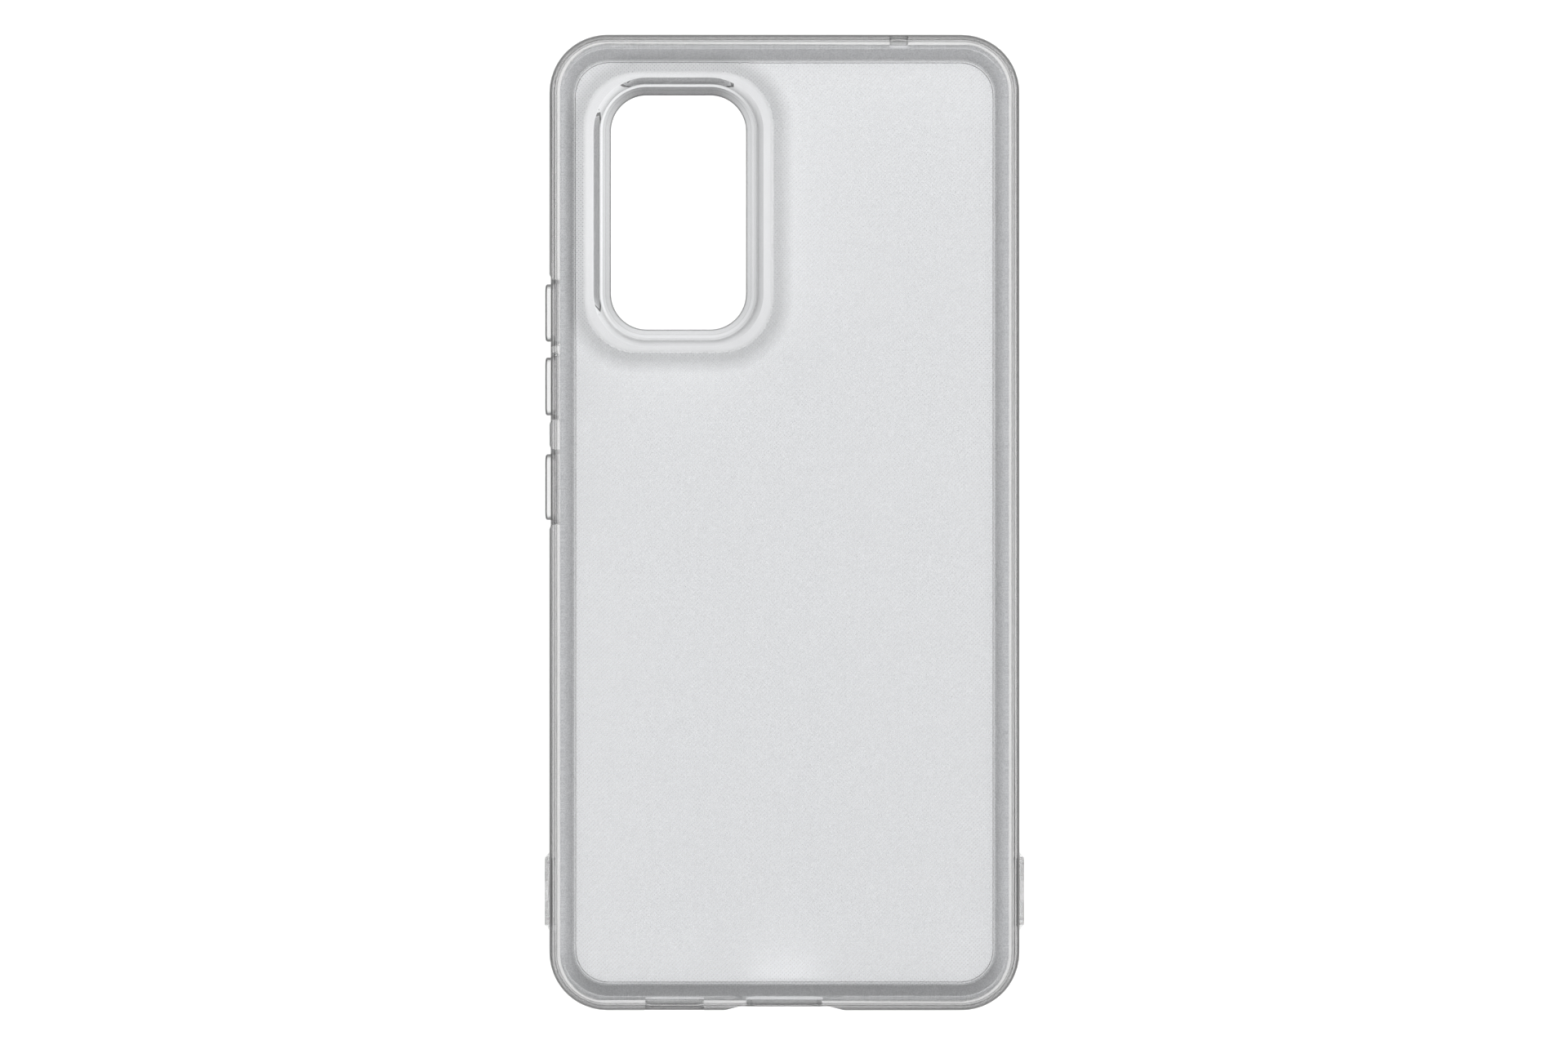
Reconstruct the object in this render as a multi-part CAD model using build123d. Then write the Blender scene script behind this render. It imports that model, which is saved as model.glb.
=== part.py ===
from build123d import *
import os

# A slim protective case for a phone, lying with its outer back up.
# Millimetres. Origin: middle of the case, on the surface that its front lip rests on.
# +Z is up, through the back. +Y is towards the top of the phone. The keys are on the -X side.

# ---------------------------------------------------------------- the phone it is made for
phone_width = 74.8
phone_length = 159.6
phone_depth = 8.1
phone_corner = 7.7

# ---------------------------------------------------------------- shell
pocket_clearance = 0.1  # phone to side wall, and phone to back
wall = 1.93
back = 1.2
lip_height = 0.95  # how far the lip stands proud of the screen
lip_reach = 2.32  # how far the lip reaches in over the screen's edge
lip_bevel = 0.5
back_edge_round = 2.3
front_edge_round = 1.2
panel_shelf = 0.83  # width of wall under the edge of the back panel
rim_shelf = 0.93  # width of wall over the outer edge of the lip ring
bond_line = 0.02  # between two pieces that are bonded together

# ---------------------------------------------------------------- camera opening
camera_from_side = 19.67  # its centre from the phone's key side
camera_from_top = 27.9  # its centre from the phone's top edge
camera_width = 22.6
camera_length = 39.2
camera_corner = 6.0
mouth_chamfer = 0.95
mouth_chamfer_depth = 0.45
ledge_width = 0.92
guard_slope = 1.03  # width of the guard's inner slope
guard_height = 0.9  # crest above the back
guard_side = 4.5  # guard beyond the opening, each side
guard_end = 3.85  # guard beyond the opening, each end
guard_corner = 8.9
guard_crest_round = 0.35
swell_width = 3.4  # the back panel's concave rise up to the guard
swell_sink = 0.02  # how far the rise runs out under the flat back, so that it ends in a clean line

# ---------------------------------------------------------------- keys
key_names = ("volume_up", "volume_down", "power")
key_from_top = {"volume_up": 44.56, "volume_down": 56.92, "power": 73.84}
key_length = {"volume_up": 9.7, "volume_down": 9.8, "power": 11.1}
key_height = 3.3
key_corner = 1.5
key_stand = 0.75  # cap beyond the case's side
key_setback = 0.45  # inner end short of the phone's side
key_cap_round = 0.45
web_span = 0.8  # flexible skin round each key
web_thickness = 0.45
web_clearance = 0.05  # round the key's shank
valley_depth = 0.3  # the side is lower round the keys
valley_margin = 1.0
valley_ramp = 0.6

# ---------------------------------------------------------------- strap lugs
lug_from_bottom = 17.85  # centre from the phone's bottom edge
lug_length = 11.4
lug_height = 4.6
lug_corner = 1.2
lug_stand = 0.82
lug_seat = 0.63  # how deep the lug is let into the side
lug_border = 0.8
lug_bar_length = 3.5
lug_bar_thickness = 0.6
lug_edge_round = 0.18
boss_ramp = 0.9

# ---------------------------------------------------------------- openings in the short sides
port_length = 13.0
port_height = 6.3
port_scoop_floor = 15.0
port_scoop_mouth = 20.6
port_scoop_depth = 0.8
port_scoop_round = 3.0  # where the ramps run into the floor
speaker_x = -18.45
speaker_length = 9.9
speaker_height = 2.4
speaker_relief = 0.12
microphone_x = -19.2
microphone_length = 3.2
microphone_height = 1.8

# ---------------------------------------------------------------- worked out from the sizes above
pocket_width = phone_width + 2 * pocket_clearance
pocket_length = phone_length + 2 * pocket_clearance
case_width = pocket_width + 2 * wall
case_length = pocket_length + 2 * wall
case_corner = phone_corner + pocket_clearance + wall
pocket_top_z = lip_height + phone_depth + pocket_clearance
back_z = pocket_top_z + back
middle_z = lip_height + phone_depth / 2
panel_inset = wall - panel_shelf
rim_inset = wall - rim_shelf
camera_place = Pos(camera_from_side - phone_width / 2, phone_length / 2 - camera_from_top, 0)
mouth_margin = mouth_chamfer + ledge_width
ledge_z = back_z
crest_z = back_z + guard_height
swell_rise = guard_height - guard_crest_round
hump_z = pocket_top_z + swell_rise  # inner face of the panel's hump and of the guard
beyond = 2.0  # how far cutters run past what they cut


def key_y(name):
    return phone_length / 2 - key_from_top[name]


# ---------------------------------------------------------------- shared shapes
def rounded_block(width, length, corner, z_low, z_high):
    """Upright block with rounded corners, centred on Z."""
    return extrude(Pos(0, 0, z_low) * RectangleRounded(width, length, corner), z_high - z_low)


def inset_outline(inset, z):
    """The case's outline brought inboard by inset, at height z."""
    width = case_width - 2 * inset
    length = case_length - 2 * inset
    return Pos(0, 0, z) * RectangleRounded(width, length, case_corner - inset)


def inset_block(inset, z_low, z_high):
    return extrude(inset_outline(inset, z_low), z_high - z_low)


def camera_outline(margin, z):
    """The camera opening's outline, grown by margin, at height z."""
    width = camera_width + 2 * margin
    length = camera_length + 2 * margin
    return camera_place * Pos(0, 0, z) * RectangleRounded(width, length, camera_corner + margin)


def camera_block(margin, z_low, z_high):
    return extrude(camera_outline(margin, z_low), z_high - z_low)


def camera_funnel(low_margin, z_low, high_margin, z_high):
    """Plug that widens upwards from one size of the camera opening to a larger one."""
    return loft([camera_outline(low_margin, z_low), camera_outline(high_margin, z_high)], ruled=True)


def guard_block(growth, z_low, z_high):
    """Block of the camera guard's outer outline, grown by growth."""
    width = camera_width + 2 * (guard_side + growth)
    length = camera_length + 2 * (guard_end + growth)
    return camera_place * rounded_block(width, length, guard_corner + growth, z_low, z_high)


def side_plug(length, height, corner, inner, outer):
    """Block through a side that faces -Y and has its outer face on the XZ plane.
    inner and outer are measured outwards from that face."""
    upright = rounded_block(length, height, corner, inner, outer)
    return Rot(90, 0, 0) * upright


def scoop_cutter(floor_length, mouth_length, depth, floor_round=0):
    """Trapezium cutter over the whole height, for a side that faces -Y as in side_plug."""
    flare = (mouth_length - floor_length) / 2 / depth
    outside = mouth_length / 2 + flare * beyond
    corners = [
        (-floor_length / 2, depth),
        (floor_length / 2, depth),
        (outside, -beyond),
        (-outside, -beyond),
    ]
    trapezium = make_face(Polyline(*corners, close=True))
    if floor_round:
        trapezium = fillet(trapezium.vertices().group_by(Axis.Y)[-1], floor_round)
    return extrude(Pos(0, 0, -beyond) * trapezium, back_z + 2 * beyond)


def on_bottom(x, z):
    return Pos(x, -case_length / 2, z)


def on_top(x, z):
    return Pos(x, case_length / 2, z) * Rot(0, 0, 180)


def on_key_side(y, z):
    return Pos(-case_width / 2, y, z) * Rot(0, 0, -90)


def on_plain_side(y, z):
    return Pos(case_width / 2, y, z) * Rot(0, 0, 90)


def make_envelope():
    """The whole outside of the shell, solid."""
    block = inset_block(0, 0, back_z)
    block = fillet(block.edges().group_by(Axis.Z)[-1], back_edge_round)
    return fillet(block.edges().group_by(Axis.Z)[0], front_edge_round)


# ---------------------------------------------------------------- keys and their webs
def make_key(name):
    """Cap and shank in one section, so that it slides straight through its web."""
    block = side_plug(key_length[name], key_height, key_corner, key_setback - wall, key_stand)
    outermost = block.edges().group_by(Axis.Y)[0]
    return on_key_side(key_y(name), middle_z) * fillet(outermost, key_cap_round)


def key_window(name, growth, inner, outer):
    """Block of a key's wall window, grown by growth."""
    margin = web_span + growth
    length = key_length[name] + 2 * margin
    height = key_height + 2 * margin
    block = side_plug(length, height, key_corner + margin, inner, outer)
    return on_key_side(key_y(name), middle_z) * block


def make_web(name):
    """Thin skin flush with the valley floor, from the window's edge in to the key."""
    skin = key_window(name, -bond_line, -valley_depth - web_thickness, -valley_depth)
    return skin - key_window(name, web_clearance - web_span, -wall, beyond)


def valley_cutter(names):
    """Shallow valley in the key side that holds the keys named."""
    high = max(key_y(name) + key_length[name] / 2 for name in names) + valley_margin
    low = min(key_y(name) - key_length[name] / 2 for name in names) - valley_margin
    floor_length = high - low
    cutter = scoop_cutter(floor_length, floor_length + 2 * valley_ramp, valley_depth)
    return on_key_side((high + low) / 2, 0) * cutter


# ---------------------------------------------------------------- strap lugs
def lug_place(side):
    y = lug_from_bottom - phone_length / 2
    return on_key_side(y, middle_z) if side == "left" else on_plain_side(y, middle_z)


def make_boss(side):
    """Raised pad with ramps all round, in which a strap lug sits."""
    outer_length = lug_length + 2 * bond_line
    outer_height = lug_height + 2 * bond_line
    root_length = outer_length + 2 * boss_ramp
    root_height = outer_height + 2 * boss_ramp
    root = RectangleRounded(root_length, root_height, lug_corner + boss_ramp)
    top = Pos(0, 0, lug_stand) * RectangleRounded(outer_length, outer_height, lug_corner)
    pad = Rot(90, 0, 0) * loft([root, top], ruled=True)
    foot = side_plug(root_length, root_height, lug_corner + boss_ramp, -wall / 2, 0)
    return lug_place(side) * (pad + foot)


def lug_recess(side):
    length = lug_length + 2 * bond_line
    height = lug_height + 2 * bond_line
    block = side_plug(length, height, lug_corner + bond_line, -lug_seat - bond_line, beyond)
    return lug_place(side) * block


def make_lug(side):
    """Small frame with a bar across its middle, for a cord to go in on one side and out on the other."""
    frame = side_plug(lug_length, lug_height, lug_corner, -lug_seat, lug_stand)
    mouth_length = lug_length - 2 * lug_border
    mouth_height = lug_height - 2 * lug_border
    mouth_corner = lug_corner - lug_border / 2
    frame -= side_plug(mouth_length, mouth_height, mouth_corner, -lug_seat - beyond, lug_stand + beyond)
    frame = fillet(frame.edges().group_by(Axis.Y)[0], lug_edge_round)
    bar_height = mouth_height + lug_border
    bar_depth = (lug_stand - lug_bar_thickness, lug_stand)
    bar = side_plug(lug_bar_length, bar_height, lug_edge_round, *bar_depth)
    return lug_place(side) * (frame + bar)


# ---------------------------------------------------------------- shell pieces
def make_side_frame(envelope):
    frame = envelope - inset_block(wall, -beyond, back_z + beyond)
    frame -= inset_block(panel_inset - bond_line, pocket_top_z - bond_line, back_z + beyond)
    frame -= inset_block(rim_inset - bond_line, -beyond, lip_height + bond_line)
    frame -= valley_cutter(["volume_up", "volume_down"])
    frame -= valley_cutter(["power"])
    for name in key_names:
        frame -= key_window(name, 0, -wall - beyond, beyond)
    for side in ("left", "right"):
        frame += make_boss(side)
        frame -= lug_recess(side)
    port_scoop = scoop_cutter(port_scoop_floor, port_scoop_mouth, port_scoop_depth, port_scoop_round)
    frame -= on_bottom(0, 0) * port_scoop
    port_corner = port_height / 2 - 0.1
    port = side_plug(port_length, port_height, port_corner, -wall - beyond, beyond)
    frame -= on_bottom(0, middle_z) * port
    relief = scoop_cutter(speaker_length, speaker_length + 2 * speaker_relief, speaker_relief)
    frame -= on_bottom(speaker_x, 0) * relief
    speaker_corner = speaker_height / 2 - 0.05
    slot = side_plug(speaker_length, speaker_height, speaker_corner, -wall - beyond, beyond)
    frame -= on_bottom(speaker_x, middle_z) * slot
    microphone_corner = microphone_height / 2 - 0.05
    hole = side_plug(microphone_length, microphone_height, microphone_corner, -wall - beyond, beyond)
    frame -= on_top(-microphone_x, middle_z) * hole
    return frame


def make_front_rim(envelope):
    """Flat ring with a bevel round its inner edge, on the side that faces the phone."""
    inner = wall + lip_reach
    ring = envelope & inset_block(rim_inset, -beyond, lip_height)
    ring -= inset_block(inner, -beyond, lip_height + beyond)
    low = inset_outline(inner + lip_bevel, lip_height - 2 * lip_bevel)
    high = inset_outline(inner - 2 * lip_bevel, lip_height + lip_bevel)
    return ring - loft([low, high], ruled=True)


def make_swell():
    """Concave rise of the back panel towards the camera guard, swept round the guard's outline."""
    outline = guard_block(0, back_z, back_z + beyond).faces().sort_by(Axis.Z)[0].outer_wire()
    start = outline @ 0
    along = outline % 0
    outward = Vector(along.Y, -along.X, 0)
    centre = Vector(*camera_place.position)
    if (start - centre).dot(outward) < 0:
        outward = outward * -1
    section = Plane(origin=start, x_dir=outward, z_dir=outward.cross(Vector(0, 0, 1)))
    inner = -guard_crest_round
    curve = TangentArc((swell_width, -swell_sink), (0, swell_rise), tangent=(-1, 0))
    top = [(0, swell_rise), (inner, swell_rise)]
    root = [(inner, -back / 2), (swell_width, -back / 2), (swell_width, -swell_sink)]
    profile = section * make_face([curve, Polyline(*top, *root)])
    return sweep(profile, path=outline)


def make_back_panel(envelope):
    """Panel of one thickness, which rises to the guard over the phone's own camera hump."""
    panel = envelope & inset_block(panel_inset, pocket_top_z, back_z + beyond)
    swell = make_swell()
    hollow = Pos(0, 0, -back) * swell
    swell &= inset_block(back_edge_round, pocket_top_z, crest_z)
    return panel + swell - hollow - guard_block(bond_line, 0, crest_z + beyond)


def make_camera_ring():
    """The guard: rounded crest, inner slope down to the ledge, straight bore under it."""
    ring = guard_block(0, hump_z, crest_z)
    ring -= camera_block(mouth_margin + bond_line, 0, crest_z + beyond)
    slope = guard_slope / guard_height
    margin = mouth_margin + bond_line
    ring -= camera_funnel(margin, ledge_z, margin + slope * (guard_height + beyond), crest_z + beyond)
    return fillet(ring.edges().group_by(Axis.Z)[-1], guard_crest_round)


def make_camera_collar():
    """The ledge inside the guard, with a chamfered mouth."""
    collar = camera_block(mouth_margin, hump_z, ledge_z) - camera_block(0, 0, crest_z)
    slope = mouth_chamfer / mouth_chamfer_depth
    top_margin = mouth_chamfer + slope * beyond
    return collar - camera_funnel(0, ledge_z - mouth_chamfer_depth, top_margin, ledge_z + beyond)


def main():
    envelope = make_envelope()
    parts = {
        "side_frame": make_side_frame(envelope),
        "front_rim": make_front_rim(envelope),
        "back_panel": make_back_panel(envelope),
        "camera_ring": make_camera_ring(),
        "camera_collar": make_camera_collar(),
        "left_strap_lug": make_lug("left"),
        "right_strap_lug": make_lug("right"),
    }
    for name in key_names:
        parts[f"{name}_key"] = make_key(name)
        parts[f"{name}_web"] = make_web(name)
    os.makedirs("parts", exist_ok=True)
    for name, solid in parts.items():
        export_step(solid, f"parts/{name}.step")


main()
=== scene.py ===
import math

import bmesh
import bpy
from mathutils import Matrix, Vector


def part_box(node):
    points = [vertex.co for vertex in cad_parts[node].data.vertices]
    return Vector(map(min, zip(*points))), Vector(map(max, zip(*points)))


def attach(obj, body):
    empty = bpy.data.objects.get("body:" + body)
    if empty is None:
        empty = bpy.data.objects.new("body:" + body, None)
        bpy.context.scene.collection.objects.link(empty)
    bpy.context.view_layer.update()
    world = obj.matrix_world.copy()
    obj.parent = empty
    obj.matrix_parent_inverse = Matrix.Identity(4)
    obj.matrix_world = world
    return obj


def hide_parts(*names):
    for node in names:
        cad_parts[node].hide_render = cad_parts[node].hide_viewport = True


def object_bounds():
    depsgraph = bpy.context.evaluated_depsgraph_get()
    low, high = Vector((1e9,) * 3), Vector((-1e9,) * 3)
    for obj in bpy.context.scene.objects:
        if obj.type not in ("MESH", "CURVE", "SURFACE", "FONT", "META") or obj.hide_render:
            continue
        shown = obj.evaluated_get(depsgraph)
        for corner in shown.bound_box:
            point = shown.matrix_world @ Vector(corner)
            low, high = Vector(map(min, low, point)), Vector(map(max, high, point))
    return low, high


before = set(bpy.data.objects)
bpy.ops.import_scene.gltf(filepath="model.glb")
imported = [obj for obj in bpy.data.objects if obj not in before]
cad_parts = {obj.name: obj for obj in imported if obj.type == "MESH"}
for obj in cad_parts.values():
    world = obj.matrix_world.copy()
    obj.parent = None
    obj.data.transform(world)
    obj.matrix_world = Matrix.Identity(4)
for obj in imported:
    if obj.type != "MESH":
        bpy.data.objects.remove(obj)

bl_info = {
    "name": "Clear phone case",
    "version": (1, 0, 0),
    "blender": (4, 5, 0),
    "location": "View3D > Sidebar > Phone case",
    "description": "Finishes a clear phone case round its packed frame",
    "category": "Object",
}

MM = 0.001
CASE_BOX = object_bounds()
KEYS = ("volume_up", "volume_down", "power")
LUGS = ("left_strap_lug", "right_strap_lug")

# ------------------------------------------------------------------ how tones run over the plastic
# Each tone is a list of places and greys, painted light and shade on the clear plastic. Places are in
# millimetres, from the case's outline inwards unless a line says otherwise, and EDGE_RAMP is as far as any
# of them reaches.
EDGE_RAMP = 6 * MM

# Painted shade on edges, by how far a face turns away from the eye, from 0 to 1.
RIM_EDGE_SHADE = ((0.20, 1.0), (0.257, 0.67), (0.317, 0.29), (0.388, 0.085), (0.47, 0.03), (0.58, 0.0))
KEY_TURN_SHADE = ((0.10, 0.90), (0.20, 0.60), (0.32, 0.12), (0.45, 0.03))

# Painted shade: thin dark lines on the top where wall and panel meet.
SEAM_SHADE_LINES = (
    (0.80, 1.0),
    (0.88, 0.25),
    (1.04, 0.28),
    (1.14, 0.70),
    (1.20, 0.60),
    (1.28, 0.28),
    (1.38, 0.40),
    (1.52, 1.0),
)
# Painted shade: a dark line on the wall's top along the root of each key and lug.
ROOT_SHADE_LINE = ((0.24, 1.0), (0.32, 0.04), (0.56, 0.02), (0.66, 1.0))
# Painted shade on the grained lip: darker towards its inner edge, with a dark line along that edge.
LIP_SHADE_TONES = ((1.86, 1.0), (3.72, 0.62), (3.76, 1.0), (4.13, 1.0), (4.17, 0.1))
# Painted shade on the grained lip along the two short sides, darker along the bottom one.
TOP_SHADE = ((1.90, 0.71), (3.70, 1.0))
BOTTOM_SHADE = ((1.90, 0.54), (3.70, 0.75))

# Painted shade out from the camera guard's outer edge, and then in from it.
SWELL_SHADE = ((0.0, 0.46), (1.2, 0.50), (3.6, 0.97))
GUARD_EDGE_SHADE = ((0.0, 0.66), (0.25, 0.82), (0.60, 1.0))

# Painted shade out from the camera opening: mouth, ledge, slope and crest.
GUARD_SHADE_TONE = (
    (0.05, 0.06),
    (0.20, 0.32),
    (0.32, 0.57),
    (0.80, 0.57),
    (0.88, 0.39),
    (0.98, 0.667),
    (1.72, 0.667),
    (1.84, 0.24),
    (2.00, 0.43),
    (2.50, 0.84),
    (2.90, 0.95),
    (3.00, 0.65),
)
MOUTH_ENDS_MM = 1.4
SLOPE_ENDS_MM = 2.95

# Painted shade lines in from the outer face of a key or a lug.
KEY_EDGE_SHADE = ((0.0, 0.25), (0.12, 0.35), (0.24, 0.90))
LUG_SHADE_LINES = (
    (0.00, 0.20),
    (0.08, 0.75),
    (0.28, 0.80),
    (0.33, 0.35),
    (0.38, 0.85),
    (0.60, 0.85),
    (0.64, 0.45),
    (0.68, 0.90),
)

# Painted light and shade on a sloping face, by the side of the camera opening that it is on.
MOUTH_SIDE_SHADE = {"left": 0.62, "right": 0.68, "bottom": 1.0, "top": 0.12}
SLOPE_LIGHT_AND_SHADE = {"left": 1.1, "right": 0.48, "bottom": 0.78, "top": 0.9}

# ------------------------------------------------------------------ which faces a tone lies on
# Heights are over the back panel's inner face, and GUARD_FOOT is over the guard's own foot.
SEAM_HEIGHT = 0.35 * MM
ROOT_HEIGHT = -0.4 * MM
SWELL_HEIGHT = 1.1 * MM
GUARD_FOOT = 0.1 * MM
BEYOND_OUTLINE = -0.02 * MM
WALL_DEPTH = 2 * MM
ROOT_REACH = 3 * MM
SEAM_REACH = 0.06 * MM
LUG_BEYOND_KEY = 0.07 * MM
FACES_OUT = 0.1
UPRIGHT = 0.05
LEVEL = 0.97

# ------------------------------------------------------------------ how plain some faces are to see
LUG_CLEAR = 0.5
SLOT_CLEAR = 0.65

# ------------------------------------------------------------------ surfaces
PLASTIC_IOR = 1.5
MATT_ROUGHNESS = 0.55
GRAIN_DARK = (0.38, 0.72)
GRAIN_LIGHT = 0.62
GRAIN_BUMP = 0.6
GRAIN_HEIGHT = 0.05 * MM
DOT_ROUGHNESS = 0.6
DOT_ALPHA = 0.18
SHARP_DEGREES = 32
WELD = 0.002 * MM
TOO_SHORT = 0.0001 * MM

# ------------------------------------------------------------------ stage
FLOOR_DROP = 0.2 * MM
FLOOR_GREY = 0.9
LAMP_SIZE = 1.6
LAMPS = (
    ("back_softbox", (0, 1.5, 1.3), 40),
    ("front_softbox", (0, -1.5, 1.3), 12),
    ("left_softbox", (-1.5, 0, 1.3), 21),
    ("right_softbox", (1.5, 0, 1.3), 17),
)
HORIZON = (0.1, 0.12)
OVERHEAD = (0.85, 1.0)
SKY_STRENGTH = 0.7
BOUNCES = {
    "max_bounces": 32,
    "transparent_max_bounces": 32,
    "transmission_bounces": 32,
    "glossy_bounces": 16,
}
SENSOR_MM = 36.0
SHIFT = -0.00026
NEAREST = 0.01
FURTHEST = 20.0


# ------------------------------------------------------------------ what the frame says
def case_half_size():
    """Half the case's width and length over its walls, without lugs or keys."""
    edge = sizes().rim_inset
    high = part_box("front_rim")[1]
    return (high.x + edge, high.y + edge, 0)


def back_face_z():
    """Height of the back panel's inner face, which the dots stand on."""
    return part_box("back_panel")[0].z


# ------------------------------------------------------------------ settings a user would change
class CaseColours(bpy.types.PropertyGroup):
    frame_tint: bpy.props.FloatVectorProperty(
        name="Frame tint",
        description="Tint of the soft clear wall, keys and lugs",
        subtype="COLOR",
        default=(1.0, 1.0, 1.0),
        min=0.0,
        max=1.0,
    )
    panel_tint: bpy.props.FloatVectorProperty(
        name="Panel tint",
        description="Tint of the smoky back panel",
        subtype="COLOR",
        default=(0.845, 0.853, 0.868),
        min=0.0,
        max=1.0,
    )
    guard_tint: bpy.props.FloatVectorProperty(
        name="Guard tint",
        description="Tint of the camera guard and its stepped collar",
        subtype="COLOR",
        default=(0.95, 0.957, 0.97),
        min=0.0,
        max=1.0,
    )
    matt_tint: bpy.props.FloatVectorProperty(
        name="Matt tint",
        description="Tint of the grained lip",
        subtype="COLOR",
        default=(0.80, 0.807, 0.82),
        min=0.0,
        max=1.0,
    )
    dot_tint: bpy.props.FloatVectorProperty(
        name="Dot tint",
        description="Tint of the small dots inside the back",
        subtype="COLOR",
        default=(0.25, 0.252, 0.256),
        min=0.0,
        max=1.0,
    )
    frame_smoke: bpy.props.FloatProperty(
        name="Frame smoke",
        description="How quickly the soft plastic darkens with depth, per metre",
        default=5.0,
        min=0.0,
    )
    panel_smoke: bpy.props.FloatProperty(
        name="Panel smoke",
        description="How quickly the back panel darkens with depth, per metre",
        default=40.0,
        min=0.0,
    )


class CaseSizes(bpy.types.PropertyGroup):
    dot_pitch: bpy.props.FloatProperty(
        name="Dot pitch",
        description="From one dot to the next along a row",
        default=0.66 * MM,
        unit="LENGTH",
    )
    dot_row: bpy.props.FloatProperty(
        name="Row step",
        description="From one row of dots to the next, which is set over by half a pitch",
        default=0.335 * MM,
        unit="LENGTH",
    )
    dot_width: bpy.props.FloatProperty(
        name="Dot width",
        description="Across one dot at its root",
        default=0.20 * MM,
        unit="LENGTH",
    )
    dot_height: bpy.props.FloatProperty(
        name="Dot height",
        description="How far a dot stands off the back's inner face",
        default=0.035 * MM,
        unit="LENGTH",
    )
    dot_gap: bpy.props.FloatProperty(
        name="Dot gap",
        description="Hair gap between a dot's root and the face it is on",
        default=0.003 * MM,
        unit="LENGTH",
    )
    smoky_from: bpy.props.FloatProperty(
        name="Smoky from",
        description="From the outline inwards to where the panel's smoky tint starts",
        default=1.8 * MM,
        unit="LENGTH",
    )
    guard_side: bpy.props.FloatProperty(
        name="Guard side",
        description="Width of the camera guard along its long sides",
        default=4.5 * MM,
        unit="LENGTH",
    )
    guard_end: bpy.props.FloatProperty(
        name="Guard end",
        description="Width of the camera guard at its two ends",
        default=3.85 * MM,
        unit="LENGTH",
    )
    opening_corner: bpy.props.FloatProperty(
        name="Opening corner",
        description="Corner radius of the camera opening",
        default=6.0 * MM,
        unit="LENGTH",
    )
    outside_depth: bpy.props.FloatProperty(
        name="Outside depth",
        description="How far in from the outline the case's outside face turns away",
        default=1.5 * MM,
        unit="LENGTH",
    )
    rim_inset: bpy.props.FloatProperty(
        name="Rim inset",
        description="From the case's outline to the lip ring's outer edge",
        default=1.0 * MM,
        unit="LENGTH",
    )
    outline_corner: bpy.props.FloatProperty(
        name="Outline corner",
        description="Corner radius of the case seen from above",
        default=9.73 * MM,
        unit="LENGTH",
    )
    matt_from: bpy.props.FloatProperty(
        name="Matt from",
        description="From the outline inwards to where the lip turns matt",
        default=1.86 * MM,
        unit="LENGTH",
    )
    matt_to: bpy.props.FloatProperty(
        name="Matt to",
        description="From the outline inwards to the polished bevel of the lip",
        default=3.75 * MM,
        unit="LENGTH",
    )
    dot_margin: bpy.props.FloatProperty(
        name="Dot margin",
        description="From the lip ring's outer edge to the first dots",
        default=3.08 * MM,
        unit="LENGTH",
    )
    dot_field_corner: bpy.props.FloatProperty(
        name="Dot field corner",
        description="Corner radius of the field of dots",
        default=5.8 * MM,
        unit="LENGTH",
    )
    hump_reach: bpy.props.FloatProperty(
        name="Hump reach",
        description="How far the panel's rise runs out from the camera guard",
        default=3.4 * MM,
        unit="LENGTH",
    )
    hump_curve: bpy.props.FloatProperty(
        name="Hump curve",
        description="Radius of the panel's rise in section",
        default=10.425 * MM,
        unit="LENGTH",
    )
    hump_sink: bpy.props.FloatProperty(
        name="Hump sink",
        description="How far the rise runs out under the flat panel",
        default=0.02 * MM,
        unit="LENGTH",
    )
    guard_corner: bpy.props.FloatProperty(
        name="Guard corner",
        description="Corner radius of the camera guard's outer edge",
        default=8.9 * MM,
        unit="LENGTH",
    )
    dot_bands: bpy.props.IntProperty(
        name="Dot bands",
        description="How many pieces the field of dots is made in",
        default=3,
        min=1,
    )
    grain: bpy.props.FloatProperty(
        name="Grain",
        description="Across one grain of the lip's matt face",
        default=0.17 * MM,
        unit="LENGTH",
    )


class StageSettings(bpy.types.PropertyGroup):
    camera_height: bpy.props.FloatProperty(
        name="Camera height",
        description="Camera above the case's back",
        default=1.0,
        unit="LENGTH",
    )
    view_width: bpy.props.FloatProperty(
        name="View width",
        description="Width of the picture at the height of the back",
        default=0.26208,
        unit="LENGTH",
    )
    floor_size: bpy.props.FloatProperty(
        name="Floor size",
        description="Side of the square floor",
        default=6.0,
        unit="LENGTH",
    )


def colours():
    return bpy.context.scene.case_colours


def sizes():
    return bpy.context.scene.case_sizes


def stage_settings():
    return bpy.context.scene.case_stage


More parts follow.
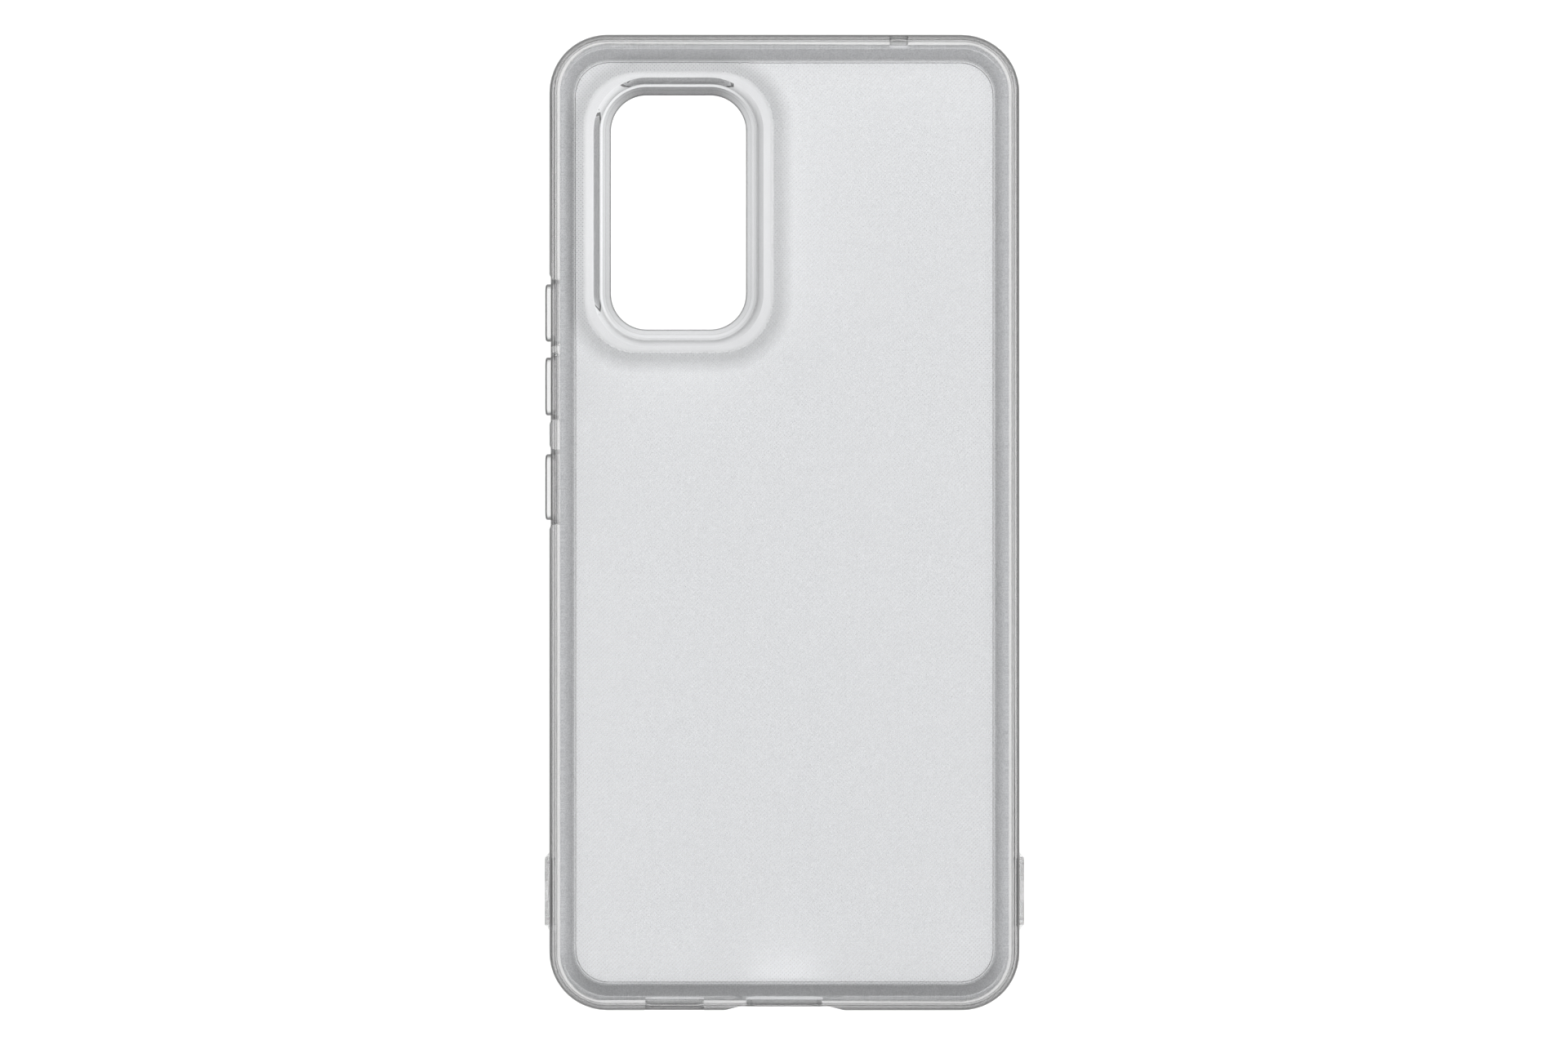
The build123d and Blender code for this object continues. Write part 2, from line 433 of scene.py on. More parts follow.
# ------------------------------------------------------------------ node words
class NodeWords:
    """Short words for building a node tree, shader or geometry."""

    def __init__(self, tree):
        self.tree = tree

    def node(self, kind, values=None, **settings):
        node = self.tree.nodes.new(kind)
        for name, value in settings.items():
            setattr(node, name, value)
        for name, value in (values or {}).items():
            if isinstance(value, bpy.types.NodeSocket):
                self.tree.links.new(value, node.inputs[name])
            else:
                node.inputs[name].default_value = value
        return node

    def math(self, operation, first, second=0.0, third=0.5):
        values = {0: first, 1: second, 2: third}
        return self.node("ShaderNodeMath", values, operation=operation).outputs[0]

    def vector(self, operation, first, second=(0, 0, 0)):
        node = self.node("ShaderNodeVectorMath", {0: first, 1: second}, operation=operation)
        return node.outputs["Value" if operation in ("LENGTH", "DOT_PRODUCT") else "Vector"]

    def parts(self, vector):
        return self.node("ShaderNodeSeparateXYZ", {0: vector}).outputs

    def inboard(self, position, centre, half_size, corner):
        """How far a point lies inside an upright rectangle with round corners."""
        away = self.vector("ABSOLUTE", self.vector("SUBTRACT", position, centre))
        shrink = self.node("ShaderNodeCombineXYZ", {0: corner, 1: corner}).outputs[0]
        beyond = self.vector("ADD", self.vector("SUBTRACT", away, half_size), shrink)
        flat = self.vector("MULTIPLY", self.vector("MAXIMUM", beyond), (1, 1, 0))
        sides = self.node("ShaderNodeSeparateXYZ", {0: beyond}).outputs
        deep = self.math("MINIMUM", self.math("MAXIMUM", sides[0], sides[1]), 0.0)
        outside = self.math("ADD", self.vector("LENGTH", flat), deep)
        return self.math("SUBTRACT", corner, outside)

    def blend(self, share, first, second):
        return self.node("ShaderNodeMix", {0: share, 6: first, 7: second}, data_type="RGBA").outputs[2]

    def multiply(self, first, second):
        values = {0: 1.0, 6: first, 7: second}
        return self.node("ShaderNodeMix", values, data_type="RGBA", blend_type="MULTIPLY").outputs[2]

    def steps(self, value, stops):
        """A colour ramp whose stops are place and grey or colour."""
        ramp = self.node("ShaderNodeValToRGB", {0: value})
        elements = ramp.color_ramp.elements
        while len(elements) < len(stops):
            elements.new(1.0)
        for element, (place, colour) in zip(elements, stops):
            element.position = place
            colour = (colour,) * 3 if isinstance(colour, float) else colour
            element.color = (*colour, 1)
        return ramp.outputs[0]


# ------------------------------------------------------------------ materials
def new_material(name):
    material = bpy.data.materials.new(name)
    material.use_nodes = True
    return material, material.node_tree


def shader_of(tree):
    return tree.nodes["Principled BSDF"]


def add_smoke(tree, density):
    """Even absorption, so that thick places are darker."""
    smoke = tree.nodes.new("ShaderNodeVolumeAbsorption")
    smoke.inputs["Color"].default_value = (0, 0, 0, 1)
    smoke.inputs["Density"].default_value = density
    tree.links.new(smoke.outputs["Volume"], tree.nodes["Material Output"].inputs["Volume"])


def let_lamps_through(tree, unseen=0.0):
    """Lamp light goes on to what lies behind, as it does through real clear plastic."""
    words = NodeWords(tree)
    path = words.node("ShaderNodeLightPath")
    open_air = words.node("ShaderNodeBsdfTransparent")
    mix = words.node("ShaderNodeMixShader")
    tree.links.new(words.math("MAXIMUM", path.outputs["Is Shadow Ray"], unseen), mix.inputs[0])
    tree.links.new(shader_of(tree).outputs["BSDF"], mix.inputs[1])
    tree.links.new(open_air.outputs["BSDF"], mix.inputs[2])
    tree.links.new(mix.outputs["Shader"], tree.nodes["Material Output"].inputs["Surface"])


def clear_shader(tree):
    shader = shader_of(tree)
    shader.inputs["Transmission Weight"].default_value = 1.0
    shader.inputs["Roughness"].default_value = 0.0
    shader.inputs["IOR"].default_value = PLASTIC_IOR
    return shader


def turned_away(words):
    """0 where the surface faces the eye and 1 where it is seen edge-on."""
    return words.node("ShaderNodeLayerWeight", {"Blend": 0.5}).outputs["Facing"]


def stops_mm(stops):
    """Ramp stops given in millimetres."""
    return [(place * MM / EDGE_RAMP, colour) for place, colour in stops]


def depth_in(words, place):
    """How far in from the case's outline, seen from above, as a share of the ramps' reach."""
    inboard = words.inboard(place, (0, 0, 0), case_half_size(), sizes().outline_corner)
    return words.math("DIVIDE", inboard, EDGE_RAMP)


def distance_out(words, place, node, inset, corner):
    """How far out from an outline round a node, as a share of the ramps' reach."""
    low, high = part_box(node)
    half = tuple((high - low) / 2 - Vector((inset.x, inset.y, 0)))
    inboard = words.inboard(place, tuple((low + high) / 2), half, corner)
    return words.math("DIVIDE", inboard, -EDGE_RAMP)


def clear_finish(name, colour, smoke, unseen=None):
    """The shared body of each clear plastic: only its tint, and the painted light and shade laid over it,
    differ.
    """
    material, tree = new_material(name)
    shader = clear_shader(tree)
    words = NodeWords(tree)
    where = words.node("ShaderNodeTexCoord")
    tree.links.new(colour(words, where), shader.inputs["Base Color"])
    add_smoke(tree, smoke)
    let_lamps_through(tree, unseen(words, where) if unseen else 0.0)
    return material


def above(words, place, height):
    """1 on what lies over a height, so that a ray is toned once, where it goes in."""
    return words.math("GREATER_THAN", words.node("ShaderNodeSeparateXYZ", {0: place}).outputs[2], height)


def toned(words, mask, tone):
    return words.blend(mask, (1, 1, 1, 1), tone)


def facing_shade(words, normal, sides):
    """Painted light and shade: a grey that depends on which side of the camera opening a sloping face is
    on.
    """
    level = words.vector("NORMALIZE", words.vector("MULTIPLY", normal, (1, 1, 0)))
    ahead = words.vector("MAXIMUM", level)
    behind = words.vector("MAXIMUM", words.vector("MULTIPLY", level, (-1, -1, 0)))
    ahead = words.vector("MULTIPLY", ahead, ahead)
    behind = words.vector("MULTIPLY", behind, behind)
    left = words.vector("DOT_PRODUCT", ahead, (sides["left"] - 1, sides["bottom"] - 1, 0))
    right = words.vector("DOT_PRODUCT", behind, (sides["right"] - 1, sides["top"] - 1, 0))
    return words.math("ADD", words.math("ADD", left, right), 1.0)


def outward(words, place):
    """Level direction straight out through the nearest side of the case."""
    away = words.vector("SUBTRACT", words.vector("ABSOLUTE", place), case_half_size())
    corner = sizes().outline_corner
    beyond = words.vector("MAXIMUM", words.vector("ADD", away, (corner, corner, 0)))
    return words.vector("NORMALIZE", words.vector("MULTIPLY", beyond, (1, 1, 0)))


def seam_and_edge_shade(words, where):
    """Painted shade: dark where the outside rounds away, with thin dark lines where wall and panel meet.
    """
    place = where.outputs["Object"]
    depth = depth_in(words, place)
    reach = sizes().outside_depth / EDGE_RAMP / 2
    outside = words.math("COMPARE", depth, reach, reach)
    normal = words.vector("ABSOLUTE", where.outputs["Normal"])
    along = words.vector("DOT_PRODUCT", normal, outward(words, place))
    outside = words.math("MULTIPLY", outside, words.math("GREATER_THAN", along, FACES_OUT))
    turn = toned(words, outside, words.steps(turned_away(words), RIM_EDGE_SHADE))
    on_top = above(words, place, back_face_z() + SEAM_HEIGHT)
    seam_shade = toned(words, on_top, words.steps(depth, stops_mm(SEAM_SHADE_LINES)))
    return depth, words.multiply(turn, seam_shade)


def frame_colour(words, where):
    place = where.outputs["Object"]
    depth, tone = seam_and_edge_shade(words, where)
    # Painted shade line along the root of each key and lug.
    on_top = above(words, place, back_face_z() + ROOT_HEIGHT)
    root = words.math("MULTIPLY", on_top, beside(words, place))
    tone = words.multiply(tone, toned(words, root, words.steps(depth, stops_mm(ROOT_SHADE_LINE))))
    # Painted shade lines on the wall's boss under each lug.
    on_boss = words.math("LESS_THAN", depth, BEYOND_OUTLINE / EDGE_RAMP)
    tone = words.multiply(tone, toned(words, on_boss, lug_line_shade(words, place)))
    return words.multiply(tone, (*colours().frame_tint, 1))


def slot_faces(words, where):
    """The openings through the wall and the pads under the lugs, which show less than the outside."""
    depth = depth_in(words, where.outputs["Object"])
    in_wall = words.math("LESS_THAN", depth, WALL_DEPTH / EDGE_RAMP)
    normal = words.vector("ABSOLUTE", where.outputs["Normal"])
    along = words.vector("DOT_PRODUCT", normal, outward(words, where.outputs["Object"]))
    across = words.math("LESS_THAN", along, FACES_OUT)
    upright = words.math("LESS_THAN", words.parts(normal)[2], LEVEL)
    mask = words.math("MULTIPLY", words.math("MULTIPLY", in_wall, across), upright)
    on_boss = words.math("LESS_THAN", depth, BEYOND_OUTLINE / EDGE_RAMP)
    return words.math("MULTIPLY", words.math("MAXIMUM", mask, on_boss), SLOT_CLEAR)


# Painted shade: dark streaks along a lug, in from its outer face.
def lug_line_shade(words, place):
    across = words.math("ABSOLUTE", words.parts(place)[0])
    edge = words.math("DIVIDE", words.math("SUBTRACT", CASE_BOX[1][0], across), EDGE_RAMP)
    return words.steps(edge, stops_mm(LUG_SHADE_LINES))


def beside(words, place):
    """1 along the stretches of wall that carry a key or a lug."""
    sides = words.parts(place)
    total = 0.0
    for node in (*(f"{key}_key" for key in KEYS), *LUGS):
        low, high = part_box(node)
        centre = (low + high) / 2
        level = words.math("COMPARE", sides[1], centre.y, (high.y - low.y) / 2)
        same_side = words.math("COMPARE", sides[0], centre.x, ROOT_REACH)
        total = words.math("MAXIMUM", total, words.math("MULTIPLY", level, same_side))
    return total


def panel_colour(words, where):
    place = where.outputs["Object"]
    depth, tone = seam_and_edge_shade(words, where)
    # Painted light: the smoky tint starts only at smoky_from, so the panel's outer band stays clear and
    # shows as a bright strip along the edge.
    start = sizes().smoky_from / MM
    tint = words.steps(depth, stops_mm([(start, 1.0), (start + 0.2, tuple(colours().panel_tint))]))
    # Painted shade on the panel's rise round the camera guard, darkest next to it.
    out = guard_edge(words, place)
    on_swell = above(words, place, back_face_z() + SWELL_HEIGHT)
    swell_shade = toned(words, on_swell, words.steps(out, stops_mm(SWELL_SHADE)))
    return words.multiply(words.multiply(tone, tint), swell_shade)


def guard_colour(words, where):
    place = where.outputs["Object"]
    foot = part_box("camera_ring")[0].z
    inset = Vector((sizes().guard_side, sizes().guard_end, 0))
    out = distance_out(words, place, "camera_ring", inset, sizes().opening_corner)
    # Painted shade over the guard's mouth, ledge, slope and crest.
    tone = words.steps(out, stops_mm(GUARD_SHADE_TONE))
    normal = where.outputs["Normal"]
    in_mouth = words.math("LESS_THAN", out, MOUTH_ENDS_MM * MM / EDGE_RAMP)
    # Painted light and shade by the side of the opening each slope faces.
    slope_shade = facing_shade(words, normal, SLOPE_LIGHT_AND_SHADE)
    mouth_shade = facing_shade(words, normal, MOUTH_SIDE_SHADE)
    on_slope = words.math("LESS_THAN", out, SLOPE_ENDS_MM * MM / EDGE_RAMP)
    shade = toned(words, on_slope, words.blend(in_mouth, slope_shade, mouth_shade))
    # Painted shade along the guard's outer edge.
    edge = words.math("MULTIPLY", guard_edge(words, place), -1.0)
    tone = words.multiply(words.multiply(tone, shade), words.steps(edge, stops_mm(GUARD_EDGE_SHADE)))
    tone = toned(words, above(words, place, foot + GUARD_FOOT), tone)
    return words.multiply(tone, (*colours().guard_tint, 1))


def guard_edge(words, place):
    """How far out from the guard's own outer edge, as a share of the ramps' reach."""
    return distance_out(words, place, "camera_ring", Vector((0, 0, 0)), sizes().guard_corner)


def guard_seam(words, where):
    """1 on the upright faces where guard and panel are one body, which do not show."""
    near = words.math("COMPARE", guard_edge(words, where.outputs["Object"]), 0.0, SEAM_REACH / EDGE_RAMP)
    tilt = words.math("ABSOLUTE", words.parts(where.outputs["Normal"])[2])
    return words.math("MULTIPLY", near, words.math("LESS_THAN", tilt, UPRIGHT))


def key_colour(words, where):
    """Clear, with painted shade: a grey edge along the cap and dark rounded ends."""
    turn = words.steps(turned_away(words), KEY_TURN_SHADE)
    across = words.math("ABSOLUTE", words.parts(where.outputs["Object"])[0])
    outer = abs(CASE_BOX[0][0]) - LUG_BEYOND_KEY
    edge = words.math("DIVIDE", words.math("SUBTRACT", outer, across), EDGE_RAMP)
    return words.multiply(turn, words.steps(edge, stops_mm(KEY_EDGE_SHADE)))


def lug_colour(words, where):
    # Painted shade lines along the lug.
    return words.multiply(lug_line_shade(words, where.outputs["Object"]), (*colours().frame_tint, 1))


def half_seen(words, where):
    return LUG_CLEAR


def matt_plastic(name):
    """Polished round the outside and on the bevel, and finely grained between."""
    material, tree = new_material(name)
    shader = clear_shader(tree)
    words = NodeWords(tree)
    place = words.node("ShaderNodeTexCoord").outputs["Object"]
    depth = depth_in(words, place)
    outer = words.math("GREATER_THAN", depth, sizes().matt_from / EDGE_RAMP)
    inner = words.math("LESS_THAN", depth, sizes().matt_to / EDGE_RAMP)
    matt = words.math("MULTIPLY", outer, inner)
    grain = words.node("ShaderNodeTexNoise", {"Vector": place, "Scale": 1 / sizes().grain, "Detail": 2.0})
    place_of_dark, share = GRAIN_DARK
    dark = tuple(value * share for value in colours().matt_tint)
    speck = words.steps(grain.outputs[0], [(place_of_dark, dark), (GRAIN_LIGHT, 1.0)])
    tinted = words.blend(matt, (1, 1, 1, 1), speck)
    # Painted shade across the grained lip and along its inner edge.
    tone = words.steps(depth, stops_mm(LIP_SHADE_TONES))
    tinted = words.multiply(words.multiply(tinted, tone), end_shade(words, place, depth, matt))
    tree.links.new(tinted, shader.inputs["Base Color"])
    tree.links.new(words.math("MULTIPLY", matt, MATT_ROUGHNESS), shader.inputs["Roughness"])
    height = words.math("MULTIPLY", grain.outputs[0], matt)
    relief = {"Strength": GRAIN_BUMP, "Distance": GRAIN_HEIGHT, "Height": height}
    bump = words.node("ShaderNodeBump", relief)
    tree.links.new(bump.outputs[0], shader.inputs["Normal"])
    let_lamps_through(tree)
    return material


def end_shade(words, place, depth, matt):
    """Painted shade: the grained face is a little darker along the two short sides."""
    short_side = words.parts(outward(words, place))[1]
    upper = words.math("GREATER_THAN", words.parts(place)[1], 0.0)
    top = words.steps(depth, stops_mm(TOP_SHADE))
    bottom = words.steps(depth, stops_mm(BOTTOM_SHADE))
    return toned(words, words.math("MULTIPLY", short_side, matt), words.blend(upper, bottom, top))


def dot_plastic(name):
    material, tree = new_material(name)
    shader = shader_of(tree)
    shader.inputs["Base Color"].default_value = (*colours().dot_tint, 1)
    shader.inputs["Roughness"].default_value = DOT_ROUGHNESS
    shader.inputs["Alpha"].default_value = DOT_ALPHA
    return material


# ------------------------------------------------------------------ meshes
def plain_mesh(piece):
    """Turn a piece's modifiers into a plain mesh of its own."""
    graph = bpy.context.evaluated_depsgraph_get()
    mesh = bpy.data.meshes.new_from_object(piece.evaluated_get(graph))
    mesh.name = piece.name
    piece.modifiers.clear()
    piece.data = mesh


def finished_copy(node, name, material, body):
    """The node's own shape as one joined mesh with smooth rounds and crisp edges."""
    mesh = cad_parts[node].data.copy()
    mesh.name = name
    form = bmesh.new()
    form.from_mesh(mesh)
    bmesh.ops.remove_doubles(form, verts=form.verts, dist=WELD)
    bmesh.ops.dissolve_degenerate(form, dist=TOO_SHORT, edges=form.edges)
    for face in form.faces:
        face.smooth = True
    limit = math.radians(SHARP_DEGREES)
    for edge in form.edges:
        if len(edge.link_faces) == 2:
            edge.smooth = edge.calc_face_angle() < limit
    form.to_mesh(mesh)
    form.free()
    mesh.materials.clear()
    mesh.materials.append(material)
    piece = bpy.data.objects.new(name, mesh)
    bpy.context.scene.collection.objects.link(piece)
    normals = piece.modifiers.new("Even shading", "WEIGHTED_NORMAL")
    normals.keep_sharp = True
    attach(piece, body)
    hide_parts(node)
    return piece


# ------------------------------------------------------------------ dots inside the back
DOT_SIZES = ("Pitch", "Row step", "Dot width", "Dot height", "Face height", "Corner", "Guard corner")
HUMP_SIZES = ("Hump reach", "Hump curve", "Hump sink")
DOT_PLACES = ("Field centre", "Field half size", "Whole half size", "Guard centre", "Guard half size")


def dot_tree():
    """Set-over rows of small dots under a face, inside one round-cornered outline and outside another."""
    tree = bpy.data.node_groups.new("small_dots", "GeometryNodeTree")
    face = tree.interface
    face.new_socket("Geometry", in_out="INPUT", socket_type="NodeSocketGeometry")
    face.new_socket("Geometry", in_out="OUTPUT", socket_type="NodeSocketGeometry")
    kinds = {name: "NodeSocketFloat" for name in DOT_SIZES + HUMP_SIZES}
    kinds.update({name: "NodeSocketVector" for name in DOT_PLACES})
    kinds["Material"] = "NodeSocketMaterial"
    names = {}
    for name, kind in kinds.items():
        names[name] = face.new_socket(name, in_out="INPUT", socket_type=kind).identifier
    given = tree.nodes.new("NodeGroupInput").outputs
    end = tree.nodes.new("NodeGroupOutput")
    build = NodeWords(tree)
    pitch = given["Pitch"]
    row = given["Row step"]
    field = build.node("ShaderNodeSeparateXYZ", {0: given["Field half size"]}).outputs
    columns = build.math("ROUND", build.math("DIVIDE", build.math("MULTIPLY", field[0], 2.0), pitch))
    rows = build.math("ROUND", build.math("DIVIDE", field[1], row))
    field_width = build.math("MULTIPLY", columns, pitch)
    field_length = build.math("MULTIPLY", build.math("MULTIPLY", rows, row), 2.0)
    grid = build.node(
        "GeometryNodeMeshGrid",
        {
            "Size X": field_width,
            "Size Y": field_length,
            "Vertices X": build.math("ADD", columns, 1.0),
            "Vertices Y": build.math("ADD", rows, 1.0),
        },
    ).outputs["Mesh"]
    half_pitch = build.math("MULTIPLY", pitch, 0.5)
    half_step = build.node("ShaderNodeCombineXYZ", {0: half_pitch, 1: row}).outputs[0]
    second = build.node("GeometryNodeTransform", {"Geometry": grid, "Translation": half_step}).outputs[0]
    join = build.node("GeometryNodeJoinGeometry")
    for part in (grid, second):
        build.tree.links.new(part, join.inputs[0])
    placed = build.node(
        "GeometryNodeTransform", {"Geometry": join.outputs[0], "Translation": given["Field centre"]}
    ).outputs[0]
    points = build.node("GeometryNodeMeshToPoints", {"Mesh": placed}).outputs[0]
    position = build.node("GeometryNodeInputPosition").outputs[0]
    on_panel = build.inboard(position, (0, 0, 0), given["Whole half size"], given["Corner"])
    guard_half = given["Guard half size"]
    on_guard = build.inboard(position, given["Guard centre"], guard_half, given["Guard corner"])
    off_panel = build.math("LESS_THAN", on_panel, 0.0)
    under_guard = build.math("GREATER_THAN", on_guard, 0.0)
    left_out = build.math("MAXIMUM", off_panel, under_guard)
    kept = build.node("GeometryNodeDeleteGeometry", {"Geometry": points, "Selection": left_out}).outputs[0]
    run = build.math("MAXIMUM", build.math("ADD", given["Hump reach"], on_guard), 0.0)
    curve = given["Hump curve"]
    across = build.math("SUBTRACT", build.math("MULTIPLY", curve, curve), build.math("MULTIPLY", run, run))
    climb = build.math("SUBTRACT", curve, build.math("SQRT", across))
    rise = build.math("MAXIMUM", build.math("SUBTRACT", climb, given["Hump sink"]), 0.0)
    raised = build.node("ShaderNodeCombineXYZ", {2: rise}).outputs[0]
    kept = build.node("GeometryNodeSetPosition", {"Geometry": kept, "Offset": raised}).outputs[0]
    radius = build.math("MULTIPLY", given["Dot width"], 0.5)
    cone = {"Vertices": 6, "Radius Top": 0.0, "Radius Bottom": radius, "Depth": given["Dot height"]}
    dot = build.node("GeometryNodeMeshCone", cone, fill_type="NGON").outputs["Mesh"]
    lift = build.node("ShaderNodeCombineXYZ", {2: given["Face height"]}).outputs[0]
    turn = {"Geometry": dot, "Translation": lift, "Rotation": (math.pi, 0, 0)}
    hung = build.node("GeometryNodeTransform", turn).outputs[0]
    copies = build.node("GeometryNodeInstanceOnPoints", {"Points": kept, "Instance": hung}).outputs[0]
    solid = build.node("GeometryNodeRealizeInstances", {"Geometry": copies}).outputs[0]
    finish = {"Geometry": solid, "Material": given["Material"]}
    coloured = build.node("GeometryNodeSetMaterial", finish).outputs[0]
    tree.links.new(coloured, end.inputs[0])
    return tree, names


# ------------------------------------------------------------------ operators
class CASE_OT_side_frame(bpy.types.Operator):
    """Finish the clear wall and the thin skins round its keys"""

    bl_idname = "phonecase.side_frame"
    bl_label = "Side frame"

    def execute(self, context):
        material = clear_finish("clear_soft_plastic", frame_colour, colours().frame_smoke, slot_faces)
        finished_copy("side_frame", "frame_wall", material, "case")
        for key in KEYS:
            finished_copy(f"{key}_web", f"{key}_skin", material, "case")
        return {"FINISHED"}


class CASE_OT_front_rim(bpy.types.Operator):
    """Finish the matt lip ring"""

    bl_idname = "phonecase.front_rim"
    bl_label = "Front rim"

    def execute(self, context):
        material = matt_plastic("matt_soft_plastic")
        finished_copy("front_rim", "lip_ring", material, "case")
        return {"FINISHED"}


class CASE_OT_back_panel(bpy.types.Operator):
    """Finish the clear back panel"""

    bl_idname = "phonecase.back_panel"
    bl_label = "Back panel"

    def execute(self, context):
        material = clear_finish("clear_back_plastic", panel_colour, colours().panel_smoke, guard_seam)
        finished_copy("back_panel", "back_plate", material, "case")
        return {"FINISHED"}


class CASE_OT_back_dots(bpy.types.Operator):
    """Set the rows of small dots on the back panel's inner face"""

    bl_idname = "phonecase.back_dots"
    bl_label = "Back dots"

    def execute(self, context):
        material = dot_plastic("dot_plastic")
        tree, names = dot_tree()
        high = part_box("front_rim")[1]
        edge = sizes().dot_margin
        half_width = high.x - edge
        half_length = high.y - edge
        guard_low, guard_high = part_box("camera_ring")
        guard_half = (guard_high - guard_low) / 2
        guard_middle = (guard_low + guard_high) / 2
        bands = sizes().dot_bands
        row = sizes().dot_row
        rows = round(half_length / row / bands)
        band_half = rows * row
        for band in range(bands):
            place = -half_length + band_half * (2 * band + 1)
            host = bpy.data.objects.new(f"back_dots_{band + 1}", bpy.data.meshes.new("empty"))
            context.scene.collection.objects.link(host)
            modifier = host.modifiers.new("Dots", "NODES")
            modifier.node_group = tree
            values = {
                "Pitch": sizes().dot_pitch,
                "Row step": row,
                "Dot width": sizes().dot_width,
                "Dot height": sizes().dot_height,
                "Face height": back_face_z() - sizes().dot_gap,
                "Hump reach": sizes().hump_reach,
                "Hump curve": sizes().hump_curve,
                "Hump sink": sizes().hump_sink,
                "Corner": sizes().dot_field_corner,
                "Guard corner": sizes().guard_corner,
                "Field centre": (0, place, 0),
                "Field half size": (half_width, band_half - row, 0),
                "Whole half size": (half_width, half_length, 1),
                "Guard centre": tuple(guard_middle),
                "Guard half size": tuple(guard_half),
                "Material": material,
            }
            for name, value in values.items():
                modifier[names[name]] = value
            plain_mesh(host)
            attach(host, "case")
        return {"FINISHED"}


class CASE_OT_camera_guard(bpy.types.Operator):
    """Finish the raised guard and the stepped collar round the camera opening"""

    bl_idname = "phonecase.camera_guard"
    bl_label = "Camera guard"

    def execute(self, context):
        material = clear_finish("clear_guard_plastic", guard_colour, colours().panel_smoke, guard_seam)
        finished_copy("camera_ring", "camera_guard", material, "case")
        finished_copy("camera_collar", "camera_ledge", material, "case")
        return {"FINISHED"}


class CASE_OT_keys(bpy.types.Operator):
    """Finish the three keys on the side"""

    bl_idname = "phonecase.keys"
    bl_label = "Keys"

    def execute(self, context):
        material = clear_finish("clear_key_plastic", key_colour, colours().frame_smoke)
        for key in KEYS:
            finished_copy(f"{key}_key", f"{key}_cap", material, key)
        return {"FINISHED"}


class CASE_OT_strap_lugs(bpy.types.Operator):
    """Finish the two strap lugs"""

    bl_idname = "phonecase.strap_lugs"
    bl_label = "Strap lugs"

    def execute(self, context):
        material = clear_finish("clear_lug_plastic", lug_colour, colours().frame_smoke, half_seen)
        for side in ("left", "right"):
            finished_copy(f"{side}_strap_lug", f"{side}_lug", material, "case")
        return {"FINISHED"}


class CASE_OT_stage(bpy.types.Operator):
    """Set up the floor, the lights and the camera"""

    bl_idname = "phonecase.stage"
    bl_label = "Stage"

    def execute(self, context):
        settings = stage_settings()
        make_floor(settings.floor_size)
        make_lights()
        make_camera(settings.camera_height, settings.view_width)
        context.scene.view_settings.view_transform = "Standard"
        for limit, count in BOUNCES.items():
            setattr(context.scene.cycles, limit, count)
        return {"FINISHED"}


def make_floor(size):
    half = size / 2
    mesh = bpy.data.meshes.new("floor")
    corners = [(-half, -half), (half, -half), (half, half), (-half, half)]
    mesh.from_pydata([(x, y, -FLOOR_DROP) for x, y in corners], [], [(0, 1, 2, 3)])
    material, tree = new_material("floor_white")
    shader_of(tree).inputs["Base Color"].default_value = (FLOOR_GREY, FLOOR_GREY, FLOOR_GREY, 1)
    shader_of(tree).inputs["Roughness"].default_value = 0.9
    mesh.materials.append(material)
    floor = bpy.data.objects.new("floor", mesh)
    bpy.context.scene.collection.objects.link(floor)


def add_softbox(name, place, power):
    """Soft lamp aimed at the case. Clear plastic is lit by it but doesn't mirror it."""
    light = bpy.data.lights.new(name, "AREA")
    light.energy = power
    light.size = LAMP_SIZE
    lamp = bpy.data.objects.new(name, light)
    lamp.location = place
    lamp.rotation_euler = (-Vector(place)).to_track_quat("-Z", "Y").to_euler()
    lamp.visible_glossy = False
    lamp.visible_transmission = False
    bpy.context.scene.collection.objects.link(lamp)


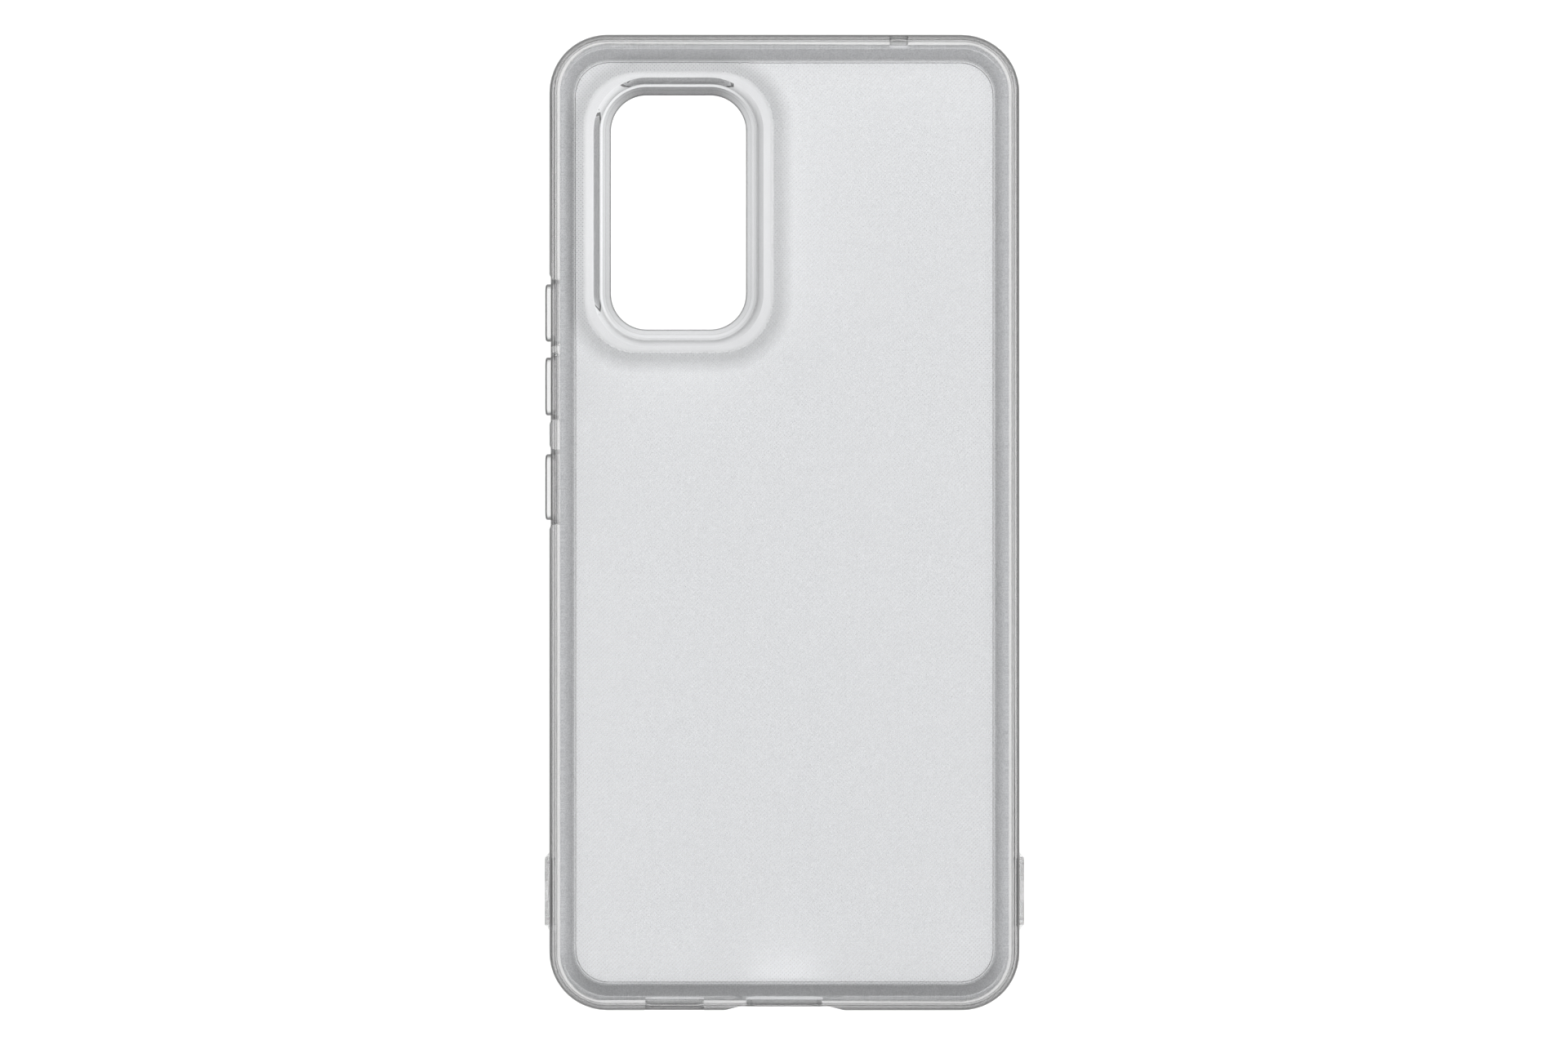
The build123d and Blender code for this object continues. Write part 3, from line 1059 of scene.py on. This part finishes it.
def make_sky():
    """Light that brightens from the horizon up, which clear edges bend into view, and a white backdrop."""
    world = bpy.data.worlds.new("studio")
    bpy.context.scene.world = world
    world.use_nodes = True
    words = NodeWords(world.node_tree)
    direction = words.node("ShaderNodeTexCoord").outputs["Generated"]
    sky = world.node_tree.nodes["Background"]
    brightness = words.steps(words.parts(direction)[2], (HORIZON, OVERHEAD))
    world.node_tree.links.new(brightness, sky.inputs["Color"])
    sky.inputs["Strength"].default_value = SKY_STRENGTH
    backdrop = words.node("ShaderNodeBackground", {"Color": (1, 1, 1, 1)})
    path = words.node("ShaderNodeLightPath")
    shaders = {0: path.outputs["Is Camera Ray"], 1: sky.outputs[0], 2: backdrop.outputs[0]}
    mix = words.node("ShaderNodeMixShader", shaders)
    world.node_tree.links.new(mix.outputs[0], world.node_tree.nodes["World Output"].inputs["Surface"])


def make_lights():
    make_sky()
    for name, place, power in LAMPS:
        add_softbox(name, place, power)


def make_camera(height, view_width):
    back_z = CASE_BOX[1][2]
    data = bpy.data.cameras.new("camera")
    data.sensor_width = SENSOR_MM
    data.lens = data.sensor_width * height / view_width
    data.shift_x = SHIFT
    data.clip_start = NEAREST
    data.clip_end = FURTHEST
    camera = bpy.data.objects.new("camera", data)
    camera.location = (0, 0, back_z + height)
    bpy.context.scene.collection.objects.link(camera)
    bpy.context.scene.camera = camera


class CASE_PT_panel(bpy.types.Panel):
    bl_idname = "CASE_PT_panel"
    bl_label = "Phone case"
    bl_space_type = "VIEW_3D"
    bl_region_type = "UI"
    bl_category = "Phone case"

    def draw(self, context):
        for step in OPERATORS:
            self.layout.operator(step.bl_idname)


OPERATORS = (
    CASE_OT_stage,
    CASE_OT_side_frame,
    CASE_OT_front_rim,
    CASE_OT_back_panel,
    CASE_OT_back_dots,
    CASE_OT_camera_guard,
    CASE_OT_keys,
    CASE_OT_strap_lugs,
)
CLASSES = (CaseColours, CaseSizes, StageSettings, *OPERATORS, CASE_PT_panel)


def register():
    for item in CLASSES:
        bpy.utils.register_class(item)
    bpy.types.Scene.case_colours = bpy.props.PointerProperty(type=CaseColours)
    bpy.types.Scene.case_sizes = bpy.props.PointerProperty(type=CaseSizes)
    bpy.types.Scene.case_stage = bpy.props.PointerProperty(type=StageSettings)


def unregister():
    del bpy.types.Scene.case_stage
    del bpy.types.Scene.case_sizes
    del bpy.types.Scene.case_colours
    for item in reversed(CLASSES):
        bpy.utils.unregister_class(item)


def main():
    register()
    for step in OPERATORS:
        group, action = step.bl_idname.split(".")
        getattr(getattr(bpy.ops, group), action)()


if __name__ == "__main__":
    main()
